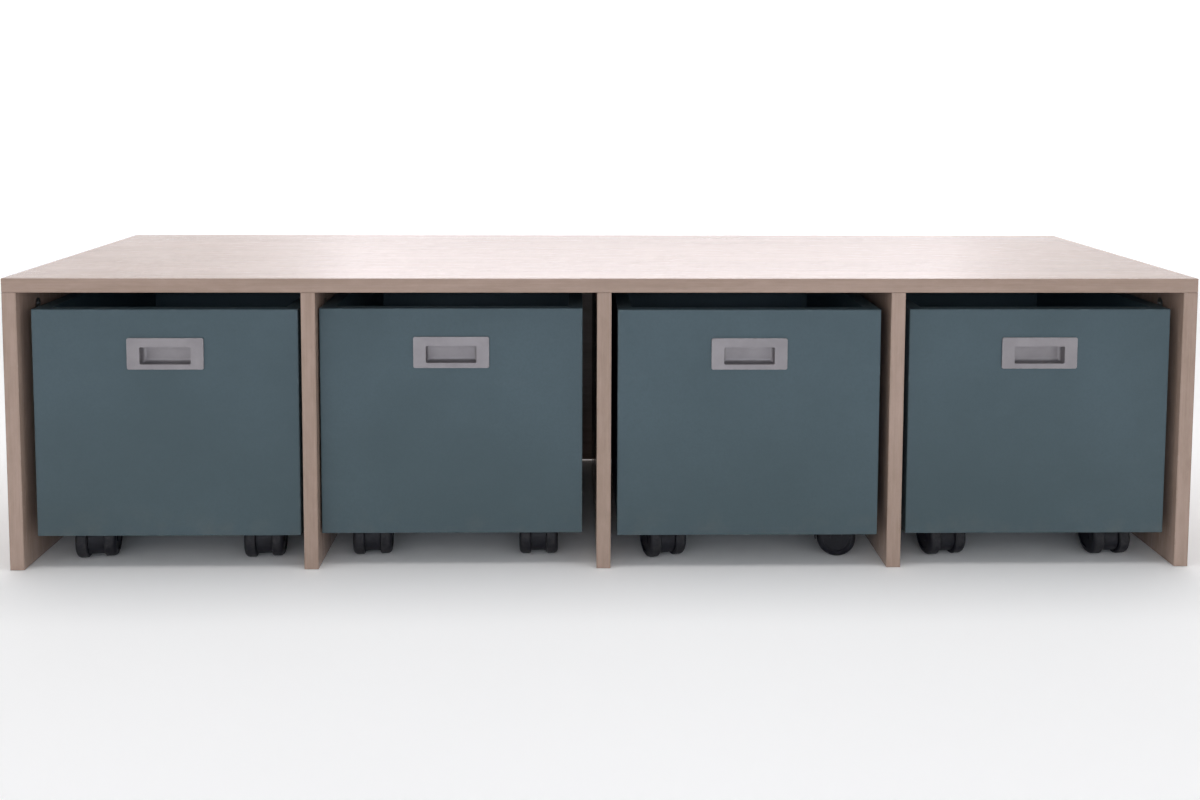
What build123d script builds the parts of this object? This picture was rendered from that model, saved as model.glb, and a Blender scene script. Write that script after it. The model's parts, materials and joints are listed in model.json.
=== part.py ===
"""Low storage bench with four open bays, each holding an open-topped box on swivel casters.

Millimetres. +X runs along the bench, -Y is the open front, +Z is up. The origin is on the floor under
the middle of the bench. Every piece is written to parts/ under its own name.
"""

from build123d import *
from math import sqrt
import os

os.makedirs("parts", exist_ok=True)

# Bench
bench_length = 1500.0
bench_depth = 450.0
bench_height = 372.0
bench_board = 18.0
bay_count = 4
back_floor_gap = 4.0
bench_edge_round = 1.0

# Carts: each bay's cart stands a little differently, side to side and front to back
cart_board = 18.0
cart_side_gap = 10.25
cart_top_gap = 22.0
cart_back_gap = 32.0
front_floor_gap = 42.0
cart_edge_round = 1.0
cart_shifts = (5.5, -8.0, -2.0, -3.0)
cart_recesses = (5.0, 12.0, 2.0, 6.0)

# Flush pull
pull_width = 96.0
pull_height = 40.0
pull_proud = 1.8
pull_lip = 3.0
pull_wall = 1.5
pull_corner = 2.5
pull_edge_round = 0.6
pull_drop = 56.0
mouth_width = 64.0
mouth_height = 22.0
mouth_corner = 2.0
mouth_below_centre = 2.5
finger_hook = 5.0
cup_depth = 12.0
cup_scoop = 6.0
pull_pocket_gap = 0.5

# Casters
wheel_diameter = 50.0
wheel_headroom = 10.0
wheel_width = 15.0
wheel_rim_round = 6.0
wheel_chamfer = 1.5
wheel_dish_radius = 17.5
wheel_dish_depth = 1.4
hub_cap_radius = 8.0
hub_cap_recess = 0.4
web_width = 19.0
web_floor_gap = 4.0
wheel_side_gap = 0.5
caster_trail = 16.0
hood_gap = 1.2
hood_wall = 2.0
cover_start_angle = -5.0
cover_sweep_angle = 123.0
boss_radius = 13.0
boss_depth = 19.0
axle_diameter = 6.0
axle_end_cover = 3.5
axle_running_gap = 0.1
axle_press_gap = 0.02
kingpin_diameter = 7.0
kingpin_length = 18.0
plate_size = 38.0
plate_thickness = 2.0
plate_corner = 4.0
plate_screw_spacing = 28.0
race_radius = 13.5
race_height = 2.5
race_gap = 0.5
caster_side_inset = 57.0
caster_back_inset = 50.0
caster_front_clearance = 1.2

# How far each caster is turned, in degrees, with its wheels trailing towards the front at zero
caster_corners = ("front_left", "front_right", "back_left", "back_right")
caster_turns = (
    (10.0, 6.0, 30.0, -50.0),
    (5.0, 1.0, -25.0, 15.0),
    (16.0, 82.0, 65.0, 20.0),
    (8.0, 2.0, 10.0, -70.0),
)

# Cam fittings, which pull two boards together: a bolt in one board and a cam in the other
cam_diameter = 15.0
cam_depth = 12.5
cam_distance = 24.0
cam_slot_length = 9.0
cam_slot_width = 1.8
cam_slot_depth = 2.0
bolt_diameter = 6.0
bolt_thread_diameter = 5.0
bolt_thread_length = 11.0
bolt_hole_gap = 0.4
fitting_gap = 0.1
bench_fitting_inset = 60.0
front_fitting_inset = 45.0
base_fitting_inset = 110.0

# Screws
screw_diameter = 4.0
screw_gap = 0.05
pan_head_diameter = 8.0
pan_head_height = 2.4
plate_screw_length = 14.0
long_screw_length = 45.0
long_screw_head = 9.0
long_screw_cone = 3.5
cross_length = 4.6
cross_width = 1.0
cross_depth = 1.6
back_screw_inset = 60.0
cart_screw_inset = 40.0

# Sizes that follow
bench_front = -bench_depth / 2
bench_back = bench_depth / 2
top_underside = bench_height - bench_board
upright_height = top_underside
divider_depth = bench_depth - bench_board
bay_pitch = (bench_length - bench_board) / bay_count
bay_width = bay_pitch - bench_board
upright_centres = [(i - bay_count / 2) * bay_pitch for i in range(bay_count + 1)]
bay_centres = [(i - (bay_count - 1) / 2) * bay_pitch for i in range(bay_count)]

caster_height = wheel_diameter + wheel_headroom
cart_width = bay_width - 2 * cart_side_gap
cart_depth = bench_depth - bench_board - cart_back_gap
cart_rim = top_underside - cart_top_gap
cart_inner_width = cart_width - 2 * cart_board
cart_inner_depth = cart_depth - 2 * cart_board
front_height = cart_rim - front_floor_gap
wall_height = cart_rim - caster_height
pull_centre_height = cart_rim - pull_drop
cup_height = mouth_height + finger_hook
cup_centre = finger_hook / 2 - mouth_below_centre

wheel_radius = wheel_diameter / 2
wheel_inner_face = web_width / 2 + wheel_side_gap
wheel_outer_face = wheel_inner_face + wheel_width
axle_end = wheel_outer_face - axle_end_cover
plate_underside = caster_height - plate_thickness
hood_top = plate_underside - race_height - race_gap
hood_inner_radius = wheel_radius + hood_gap

# A turning caster must miss the front board, which hangs down past the tops of the wheels
wheel_reach = sqrt(wheel_radius**2 - (front_floor_gap - wheel_radius) ** 2)
front_sweep = sqrt((caster_trail + wheel_reach) ** 2 + (wheel_outer_face - wheel_rim_round) ** 2)
caster_front_inset = cart_board + front_sweep + caster_front_clearance


def joint_frame(point, into, face):
    """The frame of a cam fitting: its bolt runs along +Z into the cam's board, whose face is towards +X."""
    return Plane(origin=point, x_dir=face, z_dir=into)


def copies(shape, frames):
    """A separate copy of the shape in each frame."""
    return [shape.moved(frame.location) for frame in frames]


def write_group(solids, name):
    """Writes separate pieces, which may touch, as one node."""
    group = Compound(children=solids)
    group.label = name
    export_step(group, f"parts/{name}.step")


# Fittings, each in its own frame


def make_cam(board):
    """A cam with a screwdriver cross in its face and a hole in its rim for the bolt's head."""
    face = board / 2
    face_plane = Plane(origin=(face - fitting_gap, 0, cam_distance), x_dir=(0, 1, 0), z_dir=(1, 0, 0))
    with BuildPart() as cam:
        with BuildSketch(face_plane):
            Circle(cam_diameter / 2 - fitting_gap)
        extrude(amount=-(cam_depth - 2 * fitting_gap))
        with BuildSketch(face_plane):
            Rectangle(cam_slot_length, cam_slot_width)
            Rectangle(cam_slot_width, cam_slot_length)
        extrude(amount=-cam_slot_depth, mode=Mode.SUBTRACT)
        with BuildSketch(Plane.XY):
            Circle(bolt_diameter / 2 + fitting_gap)
        extrude(amount=cam_distance, mode=Mode.SUBTRACT)
    return cam.part


def make_bolt():
    """The cam's bolt: its thread is in one board and its shank reaches the middle of the cam."""
    with BuildPart() as bolt:
        with BuildSketch(Plane.XY):
            Circle(bolt_diameter / 2)
        extrude(amount=cam_distance - fitting_gap)
        with BuildSketch(Plane.XY):
            Circle(bolt_thread_diameter / 2)
        extrude(amount=-(bolt_thread_length - fitting_gap))
        chamfer(bolt.faces().sort_by(Axis.Z)[-1].edges(), bolt_diameter / 8)
    return bolt.part


def make_cam_cut(board):
    """What a cam fitting takes out of the cam's board."""
    face_plane = Plane(origin=(board / 2, 0, cam_distance), x_dir=(0, 1, 0), z_dir=(1, 0, 0))
    with BuildPart() as cut:
        with BuildSketch(Plane.XY):
            Circle(bolt_diameter / 2 + bolt_hole_gap)
        extrude(amount=cam_distance)
        with BuildSketch(face_plane):
            Circle(cam_diameter / 2)
        extrude(amount=-cam_depth)
    return cut.part


def make_bolt_cut():
    """What a cam fitting takes out of the bolt's board."""
    with BuildPart() as cut:
        with BuildSketch(Plane.XY):
            Circle(bolt_thread_diameter / 2 + screw_gap)
        extrude(amount=-bolt_thread_length)
    return cut.part


def make_pan_screw():
    """A pan-headed screw, driven towards +Z, with its head below the XY plane."""
    with BuildPart() as screw:
        with BuildSketch(Plane.XY):
            Circle(screw_diameter / 2)
        extrude(amount=plate_screw_length)
        chamfer(screw.faces().sort_by(Axis.Z)[-1].edges(), screw_diameter / 4)
        with BuildSketch(Plane.XY):
            Circle(pan_head_diameter / 2)
        extrude(amount=-pan_head_height)
        fillet(screw.faces().sort_by(Axis.Z)[0].edges(), pan_head_height / 2)
        with BuildSketch(Plane.XY.offset(-pan_head_height)):
            Rectangle(cross_length, cross_width)
            Rectangle(cross_width, cross_length)
        extrude(amount=cross_depth, mode=Mode.SUBTRACT)
    return screw.part


def make_long_screw(gap, cross):
    """A countersunk screw, driven towards +Z, with its head flush with the XY plane."""
    shank = screw_diameter / 2 + gap
    head = long_screw_head / 2 + gap
    with BuildPart() as screw:
        with BuildSketch(Plane.XY):
            Circle(shank)
        extrude(amount=long_screw_length + gap)
        with BuildSketch(Plane.XY):
            Circle(head)
        with BuildSketch(Plane.XY.offset(long_screw_cone)):
            Circle(shank)
        loft()
        if cross:
            with BuildSketch(Plane.XY):
                Rectangle(cross_length, cross_width)
                Rectangle(cross_width, cross_length)
            extrude(amount=cross_depth, mode=Mode.SUBTRACT)
    return screw.part


bench_cam = make_cam(bench_board)
bench_cam_cut = make_cam_cut(bench_board)
cart_cam = make_cam(cart_board)
cart_cam_cut = make_cam_cut(cart_board)
cam_bolt = make_bolt()
bolt_cut = make_bolt_cut()
pan_screw = make_pan_screw()
long_screw = make_long_screw(0.0, cross=True)
long_screw_cut = make_long_screw(screw_gap, cross=False)

# Bench: where its fittings go


def top_joints(x, face):
    """The two fittings that hold the top on the upright at x, with their cams towards face."""
    places = (bench_front + bench_fitting_inset, bench_back - bench_fitting_inset)
    return [joint_frame((x, y, top_underside), (0, 0, -1), (face, 0, 0)) for y in places]


def back_joints(side):
    """The two fittings that hold the back panel between the end panels, at one side (-1 or 1)."""
    x = side * (bench_length / 2 - bench_board)
    y = bench_back - bench_board / 2
    heights = (back_floor_gap + bench_fitting_inset, top_underside - bench_fitting_inset)
    return [joint_frame((x, y, z), (-side, 0, 0), (0, -1, 0)) for z in heights]


def back_screws(x):
    """The screws through the back panel into the divider at x."""
    low = back_floor_gap + back_screw_inset
    high = top_underside - back_screw_inset
    heights = (low, (low + high) / 2, high)
    return [Plane(origin=(x, bench_back, z), x_dir=(1, 0, 0), z_dir=(0, -1, 0)) for z in heights]


# The cams face inwards on the end panels and to the right on the dividers
cam_faces = [1] * bay_count + [-1]
top_joint_sets = [top_joints(x, face) for x, face in zip(upright_centres, cam_faces)]
end_joint_sets = {-1: back_joints(-1), 1: back_joints(1)}
divider_screw_sets = [back_screws(x) for x in upright_centres[1:-1]]


def all_of(groups):
    """The members of every group, in one list."""
    return [member for group in groups for member in group]


# Top
with BuildPart() as top_board:
    with BuildSketch(Plane.XY.offset(top_underside)):
        Rectangle(bench_length, bench_depth)
    extrude(amount=bench_board)
    fillet(top_board.edges(), bench_edge_round)
    with Locations(*all_of(top_joint_sets)):
        add(bolt_cut, mode=Mode.SUBTRACT)
top_board.part.label = "top_board"
export_step(top_board.part, "parts/top_board.step")

# End panels, as deep as the top
for end_name, side in (("end_panel_left", -1), ("end_panel_right", 1)):
    end_x = side * (bench_length - bench_board) / 2
    with BuildPart() as end_panel:
        with BuildSketch(Plane.XY):
            with Locations((end_x, 0)):
                Rectangle(bench_board, bench_depth)
        extrude(amount=upright_height)
        fillet(end_panel.edges().filter_by(Axis.Z), bench_edge_round)
        with Locations(*top_joint_sets[0 if side < 0 else bay_count]):
            add(bench_cam_cut, mode=Mode.SUBTRACT)
        with Locations(*end_joint_sets[side]):
            add(bolt_cut, mode=Mode.SUBTRACT)
    end_panel.part.label = end_name
    export_step(end_panel.part, f"parts/{end_name}.step")

# Dividers, which stop at the back panel
for number in range(1, bay_count):
    divider_x = upright_centres[number]
    with BuildPart() as divider:
        with BuildSketch(Plane.XY):
            with Locations((divider_x, bench_front + divider_depth / 2)):
                Rectangle(bench_board, divider_depth)
        extrude(amount=upright_height)
        fillet(divider.edges().filter_by(Axis.Z).group_by(Axis.Y)[0], bench_edge_round)
        with Locations(*top_joint_sets[number]):
            add(bench_cam_cut, mode=Mode.SUBTRACT)
        with Locations(*divider_screw_sets[number - 1]):
            add(long_screw_cut, mode=Mode.SUBTRACT)
    divider.part.label = f"divider_{number}"
    export_step(divider.part, f"parts/divider_{number}.step")

# Back panel, between the end panels and just clear of the floor
with BuildPart() as back_panel:
    with BuildSketch(Plane.XY.offset(back_floor_gap)):
        with Locations((0, bench_back - bench_board / 2)):
            Rectangle(bench_length - 2 * bench_board, bench_board)
    extrude(amount=upright_height - back_floor_gap)
    with Locations(*all_of(end_joint_sets.values())):
        add(bench_cam_cut, mode=Mode.SUBTRACT)
    with Locations(*all_of(divider_screw_sets)):
        add(long_screw_cut, mode=Mode.SUBTRACT)
back_panel.part.label = "back_panel"
export_step(back_panel.part, "parts/back_panel.step")

# The bench's cams, bolts and screws
bench_joints = all_of(top_joint_sets) + all_of(end_joint_sets.values())
bench_cams = copies(bench_cam, bench_joints)
bench_bolts = copies(cam_bolt, bench_joints)
bench_screws = copies(long_screw, all_of(divider_screw_sets))
write_group(bench_cams + bench_bolts + bench_screws, "bench_fasteners")

# Pull, made with the board's face at y = 0 and its centre at the origin


def make_pull():
    """A flush pull: a thin flange round a scooped cup, whose hollow runs up behind the top lip."""
    with BuildPart() as pull:
        with BuildSketch(Plane.XZ.offset(pull_proud)):
            RectangleRounded(pull_width, pull_height, pull_corner)
        extrude(amount=-pull_proud)
        fillet(pull.faces().sort_by(Axis.Y)[0].edges(), pull_edge_round)
        with BuildSketch(Plane.XZ):
            with Locations((0, cup_centre)):
                RectangleRounded(mouth_width + 2 * pull_wall, cup_height + 2 * pull_wall, mouth_corner + pull_wall)
        extrude(amount=-(cup_depth + pull_wall))
        fillet(pull.edges().group_by(Axis.Y)[-1].sort_by(Axis.Z)[0], cup_scoop)
        with BuildSketch(Plane.XZ.offset(pull_proud)):
            with Locations((0, -mouth_below_centre)):
                RectangleRounded(mouth_width, mouth_height, mouth_corner)
        extrude(amount=-pull_lip, mode=Mode.SUBTRACT)
    with BuildPart() as cavity:
        with BuildSketch(Plane.XZ.offset(pull_proud - pull_lip)):
            with Locations((0, cup_centre)):
                RectangleRounded(mouth_width, cup_height, mouth_corner)
        extrude(amount=-(cup_depth + pull_proud - pull_lip))
        fillet(cavity.edges().group_by(Axis.Y)[-1].sort_by(Axis.Z)[0], cup_scoop - pull_wall)
    with BuildPart() as hollow_pull:
        add(pull.part)
        add(cavity.part, mode=Mode.SUBTRACT)
    return hollow_pull.part


def make_pull_pocket():
    """The blind pocket that the pull's cup sits in."""
    margin = 2 * (pull_wall + pull_pocket_gap)
    with BuildPart() as pocket:
        with BuildSketch(Plane.XZ):
            with Locations((0, cup_centre)):
                RectangleRounded(mouth_width + margin, cup_height + margin, mouth_corner + pull_wall)
        extrude(amount=-(cup_depth + pull_wall + pull_pocket_gap))
    return pocket.part


pull_shape = make_pull()
pull_pocket = make_pull_pocket()

# Caster pieces, made with the swivel axis at the origin and the wheels trailing towards -Y


def make_plate():
    """The caster's top plate, with its ball race and kingpin."""
    with BuildPart() as plate:
        with BuildSketch(Plane.XY.offset(plate_underside)):
            RectangleRounded(plate_size, plate_size, plate_corner)
            with GridLocations(plate_screw_spacing, plate_screw_spacing, 2, 2):
                Circle(screw_diameter / 2 + screw_gap, mode=Mode.SUBTRACT)
        extrude(amount=plate_thickness)
        with BuildSketch(Plane.XY.offset(plate_underside)):
            Circle(race_radius)
        extrude(amount=-race_height)
        fillet(plate.faces().sort_by(Axis.Z)[0].edges(), race_height / 3)
        with BuildSketch(Plane.XY.offset(plate_underside - race_height)):
            Circle(kingpin_diameter / 2)
        extrude(amount=-(kingpin_length - race_height))
    return plate.part


def make_hood():
    """The hood: a web between the wheels, a boss round the kingpin and a cover over the wheels."""
    side = Plane(origin=(0, -caster_trail, wheel_radius), x_dir=(0, 1, 0), z_dir=(1, 0, 0))
    half_width = wheel_outer_face
    boss_plane = Plane.XY.offset(hood_top - boss_depth)
    with BuildPart() as hood:
        with BuildSketch(side):
            Circle(wheel_radius - web_floor_gap)
        extrude(amount=web_width / 2, both=True)
        with BuildSketch(side):
            with BuildLine():
                rim = CenterArc((0, 0), hood_inner_radius + hood_wall, cover_start_angle, cover_sweep_angle)
                Line((0, 0), rim @ 0)
                Line((0, 0), rim @ 1)
            make_face()
            Circle(hood_inner_radius, mode=Mode.SUBTRACT)
        extrude(amount=half_width, both=True)
        with BuildSketch(boss_plane):
            Circle(boss_radius)
        extrude(amount=boss_depth)
        with BuildSketch(side.offset(web_width / 2)):
            Circle(hood_inner_radius)
        extrude(amount=half_width, mode=Mode.SUBTRACT)
        with BuildSketch(side.offset(-web_width / 2)):
            Circle(hood_inner_radius)
        extrude(amount=-half_width, mode=Mode.SUBTRACT)
        with BuildSketch(Plane.XY.offset(hood_top)):
            Circle(kingpin_diameter / 2 + axle_running_gap)
        extrude(amount=-(kingpin_length - race_height), mode=Mode.SUBTRACT)
        with BuildSketch(side):
            Circle(axle_diameter / 2 + axle_running_gap)
        extrude(amount=half_width, both=True, mode=Mode.SUBTRACT)
    return hood.part


def make_wheels():
    """Two wheels and the axle that they are pressed on."""
    rim_centre = wheel_outer_face - wheel_rim_round
    hub = axle_diameter / 2 + axle_press_gap
    dish = wheel_outer_face - wheel_dish_depth
    cap = wheel_outer_face - hub_cap_recess
    rim = wheel_radius - wheel_rim_round
    axle_front = Plane(origin=(0, -caster_trail, wheel_radius), x_dir=(1, 0, 0), z_dir=(0, -1, 0))
    axle_side = Plane(origin=axle_front.origin, x_dir=(0, 1, 0), z_dir=(1, 0, 0))
    with BuildPart() as wheels:
        with BuildSketch(axle_front):
            with BuildLine():
                Polyline(
                    (cap, 0),
                    (cap, hub_cap_radius),
                    (dish, hub_cap_radius),
                    (dish, wheel_dish_radius),
                    (wheel_outer_face, wheel_dish_radius),
                    (wheel_outer_face, rim),
                )
                CenterArc((rim_centre, rim), wheel_rim_round, 0, 90)
                Polyline(
                    (rim_centre, wheel_radius),
                    (wheel_inner_face + wheel_chamfer, wheel_radius),
                    (wheel_inner_face, wheel_radius - wheel_chamfer),
                    (wheel_inner_face, hub),
                    (axle_end, hub),
                    (axle_end, 0),
                    (cap, 0),
                )
            make_face()
        revolve(axis=Axis(axle_front.origin, (1, 0, 0)))
        mirror(about=Plane.YZ)
    with BuildPart() as axle:
        with BuildSketch(axle_side):
            Circle(axle_diameter / 2)
        extrude(amount=axle_end - axle_press_gap, both=True)
    return [*wheels.part.solids(), axle.part]


plate_shape = make_plate()
hood_shape = make_hood()
wheel_shapes = make_wheels()

# Carts
for cart in range(bay_count):
    number = cart + 1
    middle = bay_centres[cart] + cart_shifts[cart]
    face_y = bench_front + cart_recesses[cart]
    back_y = face_y + cart_depth
    inner_y = face_y + cart_depth / 2
    side_centres = [middle + side * (cart_width - cart_board) / 2 for side in (-1, 1)]
    base_fitting_ys = (face_y + cart_board + base_fitting_inset, back_y - cart_board - base_fitting_inset)
    front_fitting_zs = (caster_height + cart_board + front_fitting_inset, cart_rim - front_fitting_inset)
    screw_low = caster_height + cart_board + cart_screw_inset
    screw_high = cart_rim - cart_screw_inset
    screw_heights = (screw_low, (screw_low + screw_high) / 2, screw_high)
    front_joints = []
    base_joints = []
    wall_screws = []
    for side, wall_x in zip((-1, 1), side_centres):
        for height in front_fitting_zs:
            front_joints.append(joint_frame((wall_x, face_y + cart_board, height), (0, 1, 0), (-side, 0, 0)))
        for y in base_fitting_ys:
            inner_face = wall_x - side * cart_board / 2
            point = (inner_face, y, caster_height + cart_board / 2)
            base_joints.append(joint_frame(point, (-side, 0, 0), (0, 0, -1)))
        for height in screw_heights:
            wall_screws.append(Plane(origin=(wall_x, back_y, height), x_dir=(1, 0, 0), z_dir=(0, -1, 0)))

    # Front board, which hangs down in front of the casters
    with BuildPart() as front:
        with BuildSketch(Plane.XY.offset(front_floor_gap)):
            with Locations((middle, face_y + cart_board / 2)):
                Rectangle(cart_width, cart_board)
        extrude(amount=front_height)
        fillet(front.faces().sort_by(Axis.Y)[0].edges(), cart_edge_round)
        with Locations((middle, face_y, pull_centre_height)):
            add(pull_pocket, mode=Mode.SUBTRACT)
        with Locations(*front_joints):
            add(bolt_cut, mode=Mode.SUBTRACT)
    front.part.label = f"cart_{number}_front"
    export_step(front.part, f"parts/cart_{number}_front.step")

    # The two side walls and the back wall that closes them
    with BuildPart() as walls:
        wall_depth = cart_depth - 2 * cart_board
        with BuildSketch(Plane.XY.offset(caster_height)):
            with Locations(*[(x, inner_y) for x in side_centres]):
                Rectangle(cart_board, wall_depth)
        extrude(amount=wall_height)
        with Locations(*front_joints):
            add(cart_cam_cut, mode=Mode.SUBTRACT)
        with Locations(*base_joints):
            add(bolt_cut, mode=Mode.SUBTRACT)
        with Locations(*wall_screws):
            add(long_screw_cut, mode=Mode.SUBTRACT)
    with BuildPart() as back_wall:
        with BuildSketch(Plane.XY.offset(caster_height)):
            with Locations((middle, back_y - cart_board / 2)):
                Rectangle(cart_width, cart_board)
        extrude(amount=wall_height)
        fillet(back_wall.faces().sort_by(Axis.Y)[-1].edges(), cart_edge_round)
        with Locations(*wall_screws):
            add(long_screw_cut, mode=Mode.SUBTRACT)
    write_group([*walls.part.solids(), *back_wall.part.solids()], f"cart_{number}_walls")

    caster_xs = [middle + side * (cart_width / 2 - caster_side_inset) for side in (-1, 1)]
    caster_ys = (face_y + caster_front_inset, back_y - caster_back_inset)
    caster_places = [(x, y) for y in caster_ys for x in caster_xs]

    # Base board, between the walls
    with BuildPart() as base:
        with BuildSketch(Plane.XY.offset(caster_height)):
            with Locations((middle, inner_y)):
                Rectangle(cart_inner_width, cart_inner_depth)
        extrude(amount=cart_board)
        with Locations(*base_joints):
            add(cart_cam_cut, mode=Mode.SUBTRACT)
        with BuildSketch(Plane.XY.offset(caster_height)):
            with Locations(*caster_places):
                with GridLocations(plate_screw_spacing, plate_screw_spacing, 2, 2):
                    Circle(screw_diameter / 2 + screw_gap)
        extrude(amount=plate_screw_length, mode=Mode.SUBTRACT)
    base.part.label = f"cart_{number}_base"
    export_step(base.part, f"parts/cart_{number}_base.step")

    # Pull
    with BuildPart() as pull:
        with Locations((middle, face_y, pull_centre_height)):
            add(pull_shape)
    pull.part.label = f"cart_{number}_pull"
    export_step(pull.part, f"parts/cart_{number}_pull.step")

    # The cart's caster plates, cams, bolts and screws
    plate_frames = [Plane(origin=(x, y, 0)) for x, y in caster_places]
    screw_step = plate_screw_spacing / 2
    plate_screws = [
        Plane(origin=(x + dx, y + dy, plate_underside))
        for x, y in caster_places
        for dx in (-screw_step, screw_step)
        for dy in (-screw_step, screw_step)
    ]
    cart_joints = front_joints + base_joints
    plates = copies(plate_shape, plate_frames)
    cams_and_bolts = copies(cart_cam, cart_joints) + copies(cam_bolt, cart_joints)
    screws = copies(pan_screw, plate_screws) + copies(long_screw, wall_screws)
    write_group(plates + cams_and_bolts + screws, f"cart_{number}_hardware")

    # Casters
    for corner, (x, y), turn in zip(caster_corners, caster_places, caster_turns[cart]):
        caster_frame = Plane(origin=(x, y, 0)).rotated((0, 0, turn))
        with BuildPart() as hood:
            with Locations(caster_frame):
                add(hood_shape)
        hood.part.label = f"caster_{number}_{corner}_hood"
        export_step(hood.part, f"parts/caster_{number}_{corner}_hood.step")
        wheel_set = [copy for shape in wheel_shapes for copy in copies(shape, [caster_frame])]
        write_group(wheel_set, f"caster_{number}_{corner}_wheels")
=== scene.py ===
import json
import math

import bmesh
import bpy
from mathutils import Matrix, Vector


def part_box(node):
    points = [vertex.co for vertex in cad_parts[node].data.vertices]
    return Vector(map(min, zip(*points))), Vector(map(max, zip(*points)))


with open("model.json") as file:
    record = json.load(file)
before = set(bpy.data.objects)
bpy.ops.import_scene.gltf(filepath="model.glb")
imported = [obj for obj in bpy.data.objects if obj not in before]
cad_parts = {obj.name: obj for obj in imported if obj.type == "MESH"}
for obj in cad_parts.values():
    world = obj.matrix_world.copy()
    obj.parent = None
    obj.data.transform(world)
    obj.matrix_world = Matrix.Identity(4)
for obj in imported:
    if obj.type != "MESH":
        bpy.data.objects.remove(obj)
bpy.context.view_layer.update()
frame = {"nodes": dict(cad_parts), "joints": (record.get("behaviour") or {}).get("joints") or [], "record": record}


# How far in from a rim the wear reaches, in metres
WOOD_RIM_WEAR = 0.0022
TEAL_RIM_WEAR = 0.0028
PULL_RIM_WEAR = 0.0012

# How far in from a rim an edge strip's joint lies, and how wide the joint is
WOOD_EDGE_STRIP = 0.001
TEAL_EDGE_STRIP = 0.0012
EDGE_STRIP_JOINT = 0.0003

# How deep the relief of each finish is
WOOD_RELIEF = 0.00018
TEAL_RELIEF = 0.00016
PULL_RELIEF = 0.00004
STEEL_RELIEF = 0.00003
PLASTIC_RELIEF = 0.00006
FLOOR_RELIEF = 0.0001

# How far up a box's board its painted shade and its dust reach
PAINTED_SHADE_FOOT = 0.22
DUSTY_FOOT = 0.05

# The wheel radii where the tread begins and is full, and the radians of ring pattern to a metre
TREAD_START = 0.0238
TREAD_FULL = 0.0249
RING_RATE = 5200.0


class Value:
    """A number that changes over a surface, so that shader maths reads as arithmetic."""

    def __init__(self, finish, socket):
        self.finish, self.socket = finish, socket

    def maths(self, operation, *terms):
        made = self.finish.node("ShaderNodeMath", {"operation": operation}, dict(enumerate(terms)))
        return Value(self.finish, made.outputs[0])

    def __add__(self, other):
        return self.maths("ADD", self, other)

    def __sub__(self, other):
        return self.maths("SUBTRACT", self, other)

    def __rsub__(self, other):
        return self.maths("SUBTRACT", other, self)

    def __mul__(self, other):
        return self.maths("MULTIPLY", self, other)

    __radd__ = __add__
    __rmul__ = __mul__

    def size(self):
        """Without its sign."""
        return self.maths("ABSOLUTE", self)

    def root(self):
        return self.maths("SQRT", self)

    def wave(self):
        """A smooth ripple between 0 and 1, one for each tau of the value."""
        return self.maths("SINE", self) * 0.5 + 0.5

    def below(self, other):
        """The lesser of the two."""
        return self.maths("MINIMUM", self, other)

    def above(self, other):
        """The greater of the two."""
        return self.maths("MAXIMUM", self, other)

    def fade(self, start, end):
        """0 up to start and 1 from end, or the other way round, with a smooth change between."""
        inputs = {"Value": self, "From Min": start, "From Max": end}
        made = self.finish.node("ShaderNodeMapRange", {"interpolation_type": "SMOOTHSTEP"}, inputs)
        return Value(self.finish, made.outputs["Result"])


class Finish:
    """A material, made round one Principled shader."""

    def __init__(self, name, **constants):
        self.material = bpy.data.materials.new(name)
        self.material.use_nodes = True
        self.tree = self.material.node_tree
        self.shader = self.tree.nodes["Principled BSDF"]
        for socket, value in constants.items():
            self.shader.inputs[socket.replace("_", " ")].default_value = value
        self.place = self.node("ShaderNodeTexCoord", {}, {}).outputs["Object"]
        split = self.node("ShaderNodeSeparateXYZ", {}, {"Vector": self.place})
        self.x, self.y, self.z = (Value(self, split.outputs[axis]) for axis in "XYZ")

    def feed(self, socket, given):
        """Links a value or socket, or sets a plain number or colour."""
        if isinstance(given, Value):
            given = given.socket
        if isinstance(given, bpy.types.NodeSocket):
            self.tree.links.new(given, socket)
        else:
            socket.default_value = given

    def node(self, kind, settings, inputs):
        """Any shader node: its settings first, then its sockets."""
        made = self.tree.nodes.new(kind)
        for name, value in settings.items():
            setattr(made, name, value)
        for name, given in inputs.items():
            self.feed(made.inputs[name], given)
        return made

    def stretch(self, scale, shift=(0.0, 0.0, 0.0)):
        """Object coordinates, scaled and shifted for one pattern."""
        inputs = {"Vector": self.place, "Scale": scale, "Location": shift}
        return self.node("ShaderNodeMapping", {}, inputs).outputs[0]

    def noise(self, scale, where=None, detail=3.0, rough=0.5, warp=0.0):
        inputs = {"Vector": where or self.place, "Scale": scale, "Detail": detail, "Roughness": rough,
                  "Distortion": warp}
        return Value(self, self.node("ShaderNodeTexNoise", {}, inputs).outputs["Fac"])

    def speckle(self, scale):
        """The distance to the nearest of many scattered points."""
        made = self.node("ShaderNodeTexVoronoi", {}, {"Vector": self.place, "Scale": scale})
        return Value(self, made.outputs["Distance"])

    def mix(self, share, first, second):
        """The first colour where share is 0 and the second where it is 1."""
        share_in, first_in, second_in, colour_out = 0, 6, 7, 2
        inputs = {share_in: share, first_in: first, second_in: second}
        return self.node("ShaderNodeMix", {"data_type": "RGBA"}, inputs).outputs[colour_out]

    def dress(self, colour, roughness, height, depth):
        """Feeds the shader; height runs from 0 to 1 and depth is in metres."""
        self.feed(self.shader.inputs["Base Color"], colour)
        self.feed(self.shader.inputs["Roughness"], roughness)
        bump = self.node("ShaderNodeBump", {}, {"Strength": 1.0, "Distance": depth, "Height": height})
        self.feed(self.shader.inputs["Normal"], bump.outputs[0])
        return self.material


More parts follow.
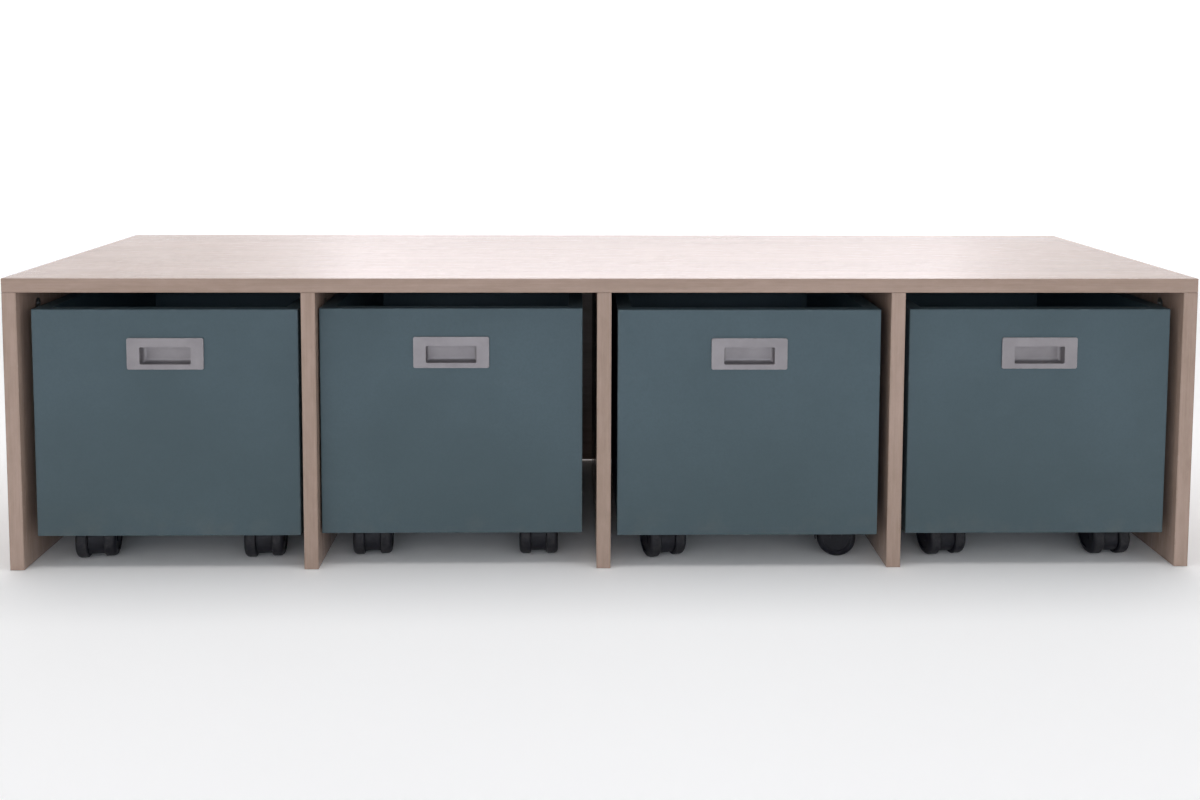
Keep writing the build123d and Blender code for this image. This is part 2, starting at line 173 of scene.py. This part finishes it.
def shade(red, green, blue):
    """A colour picked on a screen, from 0 to 255, as the shader's linear values."""
    linear = [((c / 255 + 0.055) / 1.055) ** 2.4 if c > 10 else c / 255 / 12.92 for c in (red, green, blue)]
    return (*linear, 1.0)


def rim_distances(finish, low, high):
    """Along each axis, how far a point is from the nearer end of the piece's box."""
    axes = zip((finish.x, finish.y, finish.z), low, high)
    return [(axis - least).size().below((axis - most).size()) for axis, least, most in axes]


def rim_line(finish, low, high, inset):
    """1 on the fine joint between a board's face and its edge strip, a given inset from the board's rim."""
    x, y, z = ((distance - inset).size().fade(EDGE_STRIP_JOINT, EDGE_STRIP_JOINT * 0.4)
               for distance in rim_distances(finish, low, high))
    return x.above(y).above(z)


def rim_wear(finish, low, high, width):
    """1 along the arrises of a piece, where two of its faces meet, fading out over the given width."""
    x, y, z = (distance.fade(width, 0.0) for distance in rim_distances(finish, low, high))
    return (x * y).above(y * z).above(x * z)


def grain_scale(grain, along, across):
    """The scale of a pattern that is drawn out along the grain, which runs along x or z."""
    return (along, across, across) if grain == "x" else (across, across, along)


def wood_decor(node, grain, seed):
    """Pale wood-print melamine on one board, with the grain along x or z and its own part of the pattern."""
    low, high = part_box(node)
    finish = Finish("wood_decor_" + node, Specular_IOR_Level=0.5)
    shift = (seed * 3.7, seed * 1.3, seed * 2.1)
    run = finish.stretch(grain_scale(grain, 1.0, 26.0), shift)
    fine_run = finish.stretch(grain_scale(grain, 10.0, 520.0), shift)
    pore_run = finish.stretch(grain_scale(grain, 28.0, 700.0), shift)
    mottle_run = finish.stretch(grain_scale(grain, 30.0, 95.0), shift)
    figure = finish.noise(0.9, run, detail=2.0, warp=0.8)
    streaks = finish.noise(4.5, run, detail=6.0, rough=0.62)
    fibres = finish.noise(1.0, fine_run, detail=3.0, rough=0.6)
    pore = finish.noise(1.0, pore_run, detail=1.0).fade(0.66, 0.76)
    mottle = finish.noise(1.0, mottle_run, detail=5.0, rough=0.7)
    tone = (figure * 0.3 + streaks * 0.3 + mottle * 0.3 + fibres * 0.2).fade(0.38, 0.74)
    colour = finish.mix(tone, shade(171, 148, 135), shade(148, 126, 111))
    colour = finish.mix(pore * 0.35, colour, shade(124, 103, 88))
    wear = rim_wear(finish, low, high, WOOD_RIM_WEAR) * finish.noise(55.0, detail=4.0).fade(0.48, 0.66)
    colour = finish.mix(wear * 0.3, colour, shade(150, 130, 114))
    joint = rim_line(finish, low, high, WOOD_EDGE_STRIP)
    colour = finish.mix(joint * 0.35, colour, shade(120, 98, 82))
    handling = finish.noise(7.0, detail=4.0, rough=0.6)
    roughness = 0.17 + handling * 0.12 + pore * 0.1 + wear * 0.1
    height = fibres * 0.3 + (1.0 - pore) * 0.5 + (1.0 - joint) * 0.2
    return finish.dress(colour, roughness, height, WOOD_RELIEF)


def teal_decor(node, seed):
    """Matt grey-teal melamine on a box's board: a fine pearl texture, rubs, worn rims, a dusty foot, and painted
    shade that darkens the board towards its foot.
    """
    low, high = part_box(node)
    finish = Finish("teal_decor_" + node, Specular_IOR_Level=0.45)
    own_part = finish.stretch((1.0, 1.0, 1.0), (seed * 0.9, seed * 0.4, seed * 0.7))
    above_foot = finish.z - low.z
    cloud = finish.noise(5.0, own_part, detail=5.0, rough=0.6)
    pearl = finish.noise(1100.0, detail=2.0)
    grain = finish.noise(330.0, detail=3.0, rough=0.6)
    colour = finish.mix(cloud.fade(0.3, 0.7), shade(61, 79, 86), shade(69, 87, 95))
    colour = finish.mix(grain.fade(0.35, 0.7) * 0.3, colour, shade(57, 74, 81))
    patches = finish.noise(60.0, own_part, detail=4.0).fade(0.5, 0.68)
    wear = rim_wear(finish, low, high, TEAL_RIM_WEAR) * patches
    colour = finish.mix(wear * 0.4, colour, shade(104, 122, 128))
    # Painted shade: the board's colour is darkened towards its foot, standing in for the dimmer light low down
    colour = finish.mix(above_foot.fade(PAINTED_SHADE_FOOT, 0.0) * 0.3, colour, shade(50, 66, 68))
    specks = finish.noise(24.0, own_part, detail=5.0, rough=0.7).fade(0.45, 0.75)
    dust = above_foot.fade(DUSTY_FOOT, 0.0) * specks
    colour = finish.mix(dust * 0.16, colour, shade(118, 118, 110))
    joint = rim_line(finish, low, high, TEAL_EDGE_STRIP)
    colour = finish.mix(joint * 0.4, colour, shade(40, 54, 60))
    rub_run = finish.stretch((6.0, 6.0, 26.0), (seed, 0.0, 0.0))
    rubs = finish.noise(3.0, rub_run, detail=4.0).fade(0.55, 0.72)
    roughness = 0.5 + cloud * 0.1 - rubs * 0.08 + wear * 0.1 + dust * 0.15
    height = pearl * 0.5 + grain * 0.35 + (1.0 - joint) * 0.15
    return finish.dress(colour, roughness, height, TEAL_RELIEF)


def satin_pull(node):
    """Satin-lacquered metal: a fine even orange-peel, a faint brushed sheen and rubbed rims."""
    low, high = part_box(node)
    finish = Finish("satin_pull_" + node, Metallic=0.55, Specular_IOR_Level=0.5)
    brushed = finish.noise(1.0, finish.stretch((60.0, 900.0, 1500.0)), detail=3.0)
    peel = finish.noise(900.0, detail=2.0)
    cloud = finish.noise(30.0, detail=4.0, rough=0.6)
    colour = finish.mix(cloud.fade(0.3, 0.7), shade(138, 134, 137), shade(148, 144, 147))
    wear = rim_wear(finish, low, high, PULL_RIM_WEAR) * finish.noise(160.0, detail=3.0).fade(0.42, 0.62)
    colour = finish.mix(wear * 0.5, colour, shade(176, 175, 178))
    smear = finish.noise(80.0, detail=5.0, rough=0.65).fade(0.5, 0.72)
    roughness = 0.36 + brushed * 0.08 + smear * 0.1 - wear * 0.08
    return finish.dress(colour, roughness, brushed * 0.5 + peel * 0.5, PULL_RELIEF)


def plated_steel():
    """Zinc-plated steel, a little clouded, with a slight yellow and blue cast."""
    finish = Finish("plated_steel", Metallic=1.0)
    cloud = finish.noise(90.0, detail=4.0, rough=0.6)
    cells = finish.speckle(420.0)
    colour = finish.mix(cloud.fade(0.35, 0.65), shade(178, 182, 188), shade(196, 192, 176))
    colour = finish.mix(cells.fade(0.2, 0.6) * 0.3, colour, shade(150, 153, 158))
    roughness = 0.3 + cloud * 0.14 + cells * 0.06
    return finish.dress(colour, roughness, cloud * 0.6 + cells * 0.4, STEEL_RELIEF)


def black_moulding():
    """Black moulded plastic for the hoods, spark-textured and a little dusty."""
    finish = Finish("black_moulding", Specular_IOR_Level=0.25)
    texture = finish.speckle(1500.0)
    cloud = finish.noise(60.0, detail=5.0, rough=0.6)
    colour = finish.mix(cloud.fade(0.3, 0.7), shade(14, 14, 21), shade(22, 22, 30))
    dust = finish.noise(240.0, detail=6.0, rough=0.75).fade(0.52, 0.72)
    colour = finish.mix(dust * 0.12, colour, shade(96, 94, 92))
    roughness = 0.4 + cloud * 0.1 + dust * 0.2
    return finish.dress(colour, roughness, texture * 0.7 + cloud * 0.3, PLASTIC_RELIEF)


def axle_distance(finish, middle, axle):
    """How far a point is from the line through the given middle along the given axle."""
    from_middle = {0: finish.place, 1: middle}
    away = finish.node("ShaderNodeVectorMath", {"operation": "SUBTRACT"}, from_middle).outputs["Vector"]
    sideways = finish.node("ShaderNodeVectorMath", {"operation": "DOT_PRODUCT"}, {0: away, 1: axle})
    straight = finish.node("ShaderNodeVectorMath", {"operation": "LENGTH"}, {0: away})
    along = Value(finish, sideways.outputs["Value"])
    reach = Value(finish, straight.outputs["Value"])
    return (reach * reach - along * along).root()


def wheel_nylon(body):
    """Black nylon for a pair of wheels: turned rings, scuffed sides, and treads greyed by the floor."""
    finish = Finish("wheel_nylon_" + body, Specular_IOR_Level=0.25)
    joint = next(joint for joint in frame["joints"] if joint["child"] == body)
    radius = axle_distance(finish, Vector(joint["pos_m"]), Vector(joint["axis"]).normalized())
    tread = radius.fade(TREAD_START, TREAD_FULL)
    cloud = finish.noise(70.0, detail=5.0, rough=0.65)
    rings = (radius * RING_RATE).wave()
    colour = finish.mix(cloud.fade(0.3, 0.7), shade(13, 13, 20), shade(21, 21, 29))
    grime = tread * finish.noise(160.0, detail=6.0, rough=0.75).fade(0.38, 0.66)
    colour = finish.mix(grime * 0.3, colour, shade(78, 76, 74))
    scuffs = finish.noise(420.0, detail=4.0, rough=0.7).fade(0.58, 0.7) * (1.0 - tread)
    colour = finish.mix(scuffs * 0.15, colour, shade(80, 80, 82))
    roughness = 0.34 + cloud * 0.1 + grime * 0.25 + scuffs * 0.15
    return finish.dress(colour, roughness, cloud * 0.4 + rings * 0.2 + scuffs * 0.4, PLASTIC_RELIEF)


def give(node, material):
    """Puts one material on a CAD node."""
    mesh = frame["nodes"][node].data
    mesh.materials.clear()
    mesh.materials.append(material)


# Bench boards: the grain runs along the bench, and up the uprights
boards = {
    "top_board": "x",
    "back_panel": "x",
    "end_panel_left": "z",
    "end_panel_right": "z",
    "divider_1": "z",
    "divider_2": "z",
    "divider_3": "z",
}
for seed, (node, grain) in enumerate(boards.items()):
    give(node, wood_decor(node, grain, seed + 1.0))

# Boxes, casters and fittings
steel, hood_plastic = plated_steel(), black_moulding()
give("bench_fasteners", steel)
for cart in range(1, 5):
    for part, name in enumerate(("front", "walls", "base")):
        node = f"cart_{cart}_{name}"
        give(node, teal_decor(node, cart + part * 5.0))
    give(f"cart_{cart}_pull", satin_pull(f"cart_{cart}_pull"))
    give(f"cart_{cart}_hardware", steel)
for body, nodes in frame["record"]["behaviour"]["bodies"].items():
    for node in nodes:
        if node.endswith("_hood"):
            give(node, hood_plastic)
        elif node.endswith("_wheels"):
            give(node, wheel_nylon(body))


def studio_floor():
    """A round pale floor that turns up into a wall, and glows away from the bench, more so behind it."""
    hub, radius, wall, turn = 0.02, 4.6, 3.4, 1.2
    drop = 0.0005
    glow_start, glow_full = 1.8, 3.8
    near, far = -1.0, 3.0
    cove = bmesh.new()
    corners = [cove.verts.new(place) for place in ((hub, 0, 0), (radius, 0, 0), (radius, 0, wall))]
    edges = [cove.edges.new(pair) for pair in zip(corners, corners[1:])]
    bmesh.ops.bevel(cove, geom=[corners[1]], offset=turn, offset_type="OFFSET", segments=16, profile=0.5,
                    affect="VERTICES", material=-1)
    bmesh.ops.spin(cove, geom=cove.verts[:] + cove.edges[:], axis=(0, 0, 1), cent=(0, 0, 0), angle=math.tau,
                   steps=96, use_merge=True)
    hub_rim = [edge for edge in cove.edges if edge.is_boundary and edge.verts[0].co.length < radius / 2]
    bmesh.ops.contextual_create(cove, geom=hub_rim)
    bmesh.ops.recalc_face_normals(cove, faces=cove.faces[:])
    bmesh.ops.translate(cove, vec=(0, 0, -drop), verts=cove.verts[:])
    mesh = bpy.data.meshes.new("studio_floor")
    for face in cove.faces:
        face.smooth = True
    cove.to_mesh(mesh)
    cove.free()
    floor = bpy.data.objects.new("studio_floor", mesh)
    bpy.context.scene.collection.objects.link(floor)
    finish = Finish("studio_floor", Emission_Strength=0.3)
    away = finish.node("ShaderNodeVectorMath", {"operation": "LENGTH"}, {0: finish.place}).outputs["Value"]
    lit = Value(finish, away).fade(glow_start, glow_full) * (0.5 + finish.y.fade(near, far) * 0.5)
    glow = finish.mix(lit, (0.0, 0.0, 0.0, 1.0), (1.0, 0.97, 0.99, 1.0))
    finish.feed(finish.shader.inputs["Emission Color"], glow)
    cloud = finish.noise(0.7, detail=3.0)
    colour = finish.mix(cloud.fade(0.3, 0.7), shade(243, 243, 242), shade(247, 247, 246))
    mesh.materials.append(finish.dress(colour, 0.7 + cloud * 0.1, finish.noise(40.0), FLOOR_RELIEF))


def soft_light(name, place, target, size, power, tint):
    """A soft oblong light at a place, aimed at a target and not itself seen."""
    lamp = bpy.data.lights.new(name, "AREA")
    lamp.shape, lamp.size, lamp.size_y = "RECTANGLE", *size
    lamp.energy, lamp.color = power, tint
    light = bpy.data.objects.new(name, lamp)
    light.location = place
    light.visible_camera = False
    light.rotation_euler = (Vector(target) - Vector(place)).to_track_quat("-Z", "Y").to_euler()
    bpy.context.scene.collection.objects.link(light)


# Studio
studio_floor()
soft_light("overhead", (0.0, -0.1, 2.5), (0.0, 0.0, 0.3), (3.6, 1.6), 46.0, tint=(1.0, 0.98, 0.98))
soft_light("front_fill", (0.0, -4.2, 1.3), (0.0, 0.0, 0.25), (6.0, 2.0), 6.0, tint=(1.0, 0.98, 0.96))
soft_light("front_window", (0.0, -4.1, 1.04), (0.0, 0.0, 0.3), (6.0, 0.3), 8.0, tint=(0.8, 0.9, 1.0))
soft_light("low_front", (-0.1, -2.0, 0.66), (-0.05, 0.0, 0.3), (1.6, 0.12), 4.0, tint=(0.74, 0.82, 1.0))
soft_light("left_front", (-3.3, -2.3, 1.2), (0.0, -0.2, 0.2), (2.2, 1.8), 5.0, tint=(1.0, 0.97, 0.9))
soft_light("right_front", (3.3, -2.3, 1.2), (0.0, -0.2, 0.2), (2.2, 1.8), 9.0, tint=(0.82, 0.93, 1.0))
soft_light("back_window", (0.3, 4.1, 1.9), (0.0, 0.0, 0.37), (4.2, 1.3), 45.0, tint=(0.96, 0.93, 1.0))
world = bpy.data.worlds.new("studio_world")
world.use_nodes = True
world.node_tree.nodes["Background"].inputs["Color"].default_value = (0.95, 0.97, 1.0, 1.0)
world.node_tree.nodes["Background"].inputs["Strength"].default_value = 0.3
bpy.context.scene.world = world

# Camera: a little left of the middle, above the bench top, pitched and shifted down
lens = bpy.data.cameras.new("camera")
lens.lens, lens.sensor_width = 35.0, 36.0
lens.shift_x, lens.shift_y = 0.0054, -0.187
lens.clip_start, lens.clip_end = 0.05, 50.0
camera = bpy.data.objects.new("camera", lens)
yaw, pitch, roll = (math.radians(angle) for angle in (-0.9, -4.0, -0.16))
level = Matrix.Rotation(math.pi / 2, 4, "X")
turn = Matrix.Rotation(yaw, 4, "Z") @ Matrix.Rotation(pitch, 4, "X") @ Matrix.Rotation(roll, 4, "Y")
camera.matrix_world = Matrix.Translation((-0.0368, -1.6719, 0.6023)) @ turn @ level
bpy.context.scene.collection.objects.link(camera)
bpy.context.scene.camera = camera
bpy.context.scene.view_settings.view_transform = "Standard"
